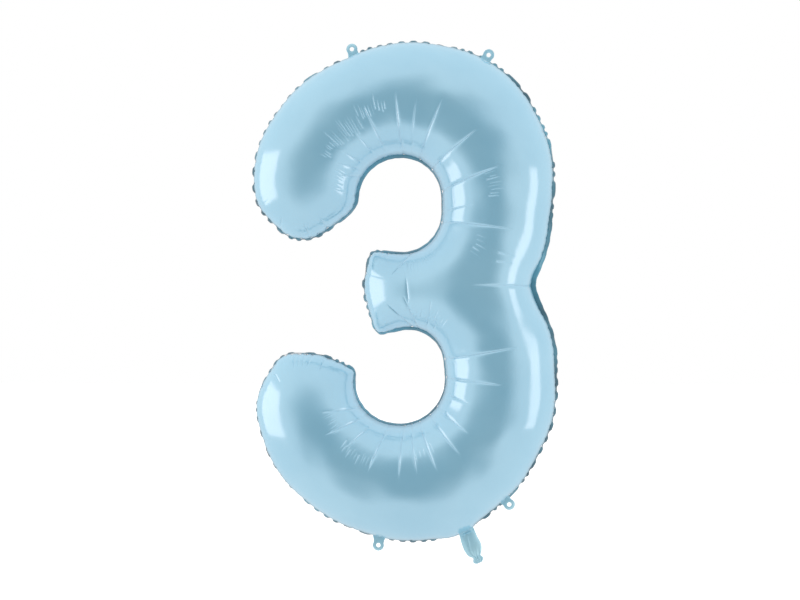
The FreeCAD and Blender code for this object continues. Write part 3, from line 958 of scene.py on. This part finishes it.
def valve_material():
    """Cloudy clear plastic film."""
    material, tree, shader = new_material("valve_plastic")
    shader["Transmission Weight"].default_value = 0.6
    haze = add_noise(tree, 140.0, 3.0)
    colour = add_colour(tree, haze, (0.66, 0.77, 0.82, 1), (0.80, 0.88, 0.91, 1))
    tree.links.new(colour, shader["Base Color"])
    tree.links.new(add_range(tree, haze, To_Min=0.25, To_Max=0.5), shader["Roughness"])
    tree.links.new(add_bump(tree, haze, 0.3, 0.0003), shader["Normal"])
    return material


def make_world():
    """A studio dim in front and behind and bright all round, seen as plain white."""
    world = bpy.data.worlds.new("studio")
    bpy.context.scene.world = world
    world.use_nodes = True
    tree = world.node_tree
    tree.nodes.clear()
    links = tree.links
    place = add_node(tree, "ShaderNodeTexCoord")
    split = add_node(tree, "ShaderNodeSeparateXYZ")
    shade = add_node(
        tree, "ShaderNodeMapRange", interpolation_type="SMOOTHSTEP",
        From_Min=-1.0, From_Max=-0.6, To_Min=0.32, To_Max=1.0)
    rear = add_node(
        tree, "ShaderNodeMapRange", interpolation_type="SMOOTHSTEP",
        From_Min=1.0, From_Max=0.75, To_Min=0.45, To_Max=1.0)
    both = add_node(tree, "ShaderNodeMath", operation="MULTIPLY")
    light = add_node(tree, "ShaderNodeBackground")
    plain = add_node(tree, "ShaderNodeBackground", Color=(1, 1, 1, 1))
    light.inputs["Color"].default_value = (1, 1, 1, 1)
    path = add_node(tree, "ShaderNodeLightPath")
    mix = add_node(tree, "ShaderNodeMixShader")
    output = add_node(tree, "ShaderNodeOutputWorld")
    links.new(place.outputs["Generated"], split.inputs[0])
    links.new(split.outputs["Y"], shade.inputs["Value"])
    links.new(split.outputs["Y"], rear.inputs["Value"])
    links.new(shade.outputs["Result"], both.inputs[0])
    links.new(rear.outputs["Result"], both.inputs[1])
    links.new(both.outputs[0], light.inputs["Strength"])
    links.new(path.outputs["Is Camera Ray"], mix.inputs["Fac"])
    links.new(light.outputs[0], mix.inputs[1])
    links.new(plain.outputs[0], mix.inputs[2])
    links.new(mix.outputs[0], output.inputs[0])


def make_light(name, place, size, radiance):
    """A warm white area light that faces the frame's origin."""
    data = bpy.data.lights.new(name, "AREA")
    data.shape = "RECTANGLE"
    data.size, data.size_y = size
    data.color = WARM_WHITE
    data.energy = radiance * math.pi * size[0] * size[1]
    lamp = bpy.data.objects.new(name, data)
    lamp.location = place
    lamp.rotation_euler = (-Vector(place)).to_track_quat("-Z", "Y").to_euler()
    bpy.context.scene.collection.objects.link(lamp)


def make_floor():
    """A plain white floor below the balloon."""
    level = CAD_BOX[0].z - FLOOR_DROP
    signs = ((-1, -1), (1, -1), (1, 1), (-1, 1))
    corners = [(x * FLOOR_HALF, y * FLOOR_HALF, level) for x, y in signs]
    material, _, shader = new_material("floor_white")
    shader["Base Color"].default_value = (0.9, 0.9, 0.9, 1)
    shader["Roughness"].default_value = 0.9
    shader["Emission Color"].default_value = (1, 1, 1, 1)
    shader["Emission Strength"].default_value = 0.45
    floor = mesh_object("floor", corners, [(0, 1, 2, 3)], material)
    floor.visible_glossy = False
    floor.visible_diffuse = False


def make_camera():
    """A long lens, slightly to the right of straight ahead."""
    distance = LENS / SENSOR * PICTURE_WIDTH
    data = bpy.data.cameras.new("camera")
    data.lens = LENS
    data.sensor_width = SENSOR
    camera = bpy.data.objects.new("camera", data)
    way = Vector((math.sin(CAMERA_TURN), -math.cos(CAMERA_TURN), 0))
    camera.location = AIM + way * distance
    camera.rotation_euler = (-way).to_track_quat("-Z", "Y").to_euler()
    bpy.context.scene.collection.objects.link(camera)
    bpy.context.scene.camera = camera


def main():
    """Stage, materials and every piece."""
    bpy.context.scene.view_settings.view_transform = "Standard"
    make_camera()
    make_world()
    make_floor()
    for light in LIGHTS:
        make_light(*light)

    panel_foil, border_foil_painted_shade, tab_foil_painted_light = (foil_material(name, *FOILS[name]) for name in FOILS)
    seam = Seam()
    membrane = Membrane(seam.weld)
    creases = LONG_CREASES + fan_creases()
    base = surface(membrane, seam, creases)
    make_panel("foil_front", "front_panel", -1, seam, creases, base, panel_foil)
    make_panel("foil_back", "back_panel", 1, seam, creases, base, panel_foil)
    # The border takes the border foil, darkened as painted shade.
    make_border(seam, border_foil_painted_shade)
    # The tabs and neck take the tab foil, made paler as painted light.
    for name, curl in TAB_CURLS.items():
        make_tab(name, curl, tab_foil_painted_light)
    make_neck(tab_foil_painted_light)
    plastic = valve_material()
    for name in ("valve_front_film", "valve_back_film"):
        frame["nodes"][name].data.materials.clear()
        frame["nodes"][name].data.materials.append(plastic)


main()
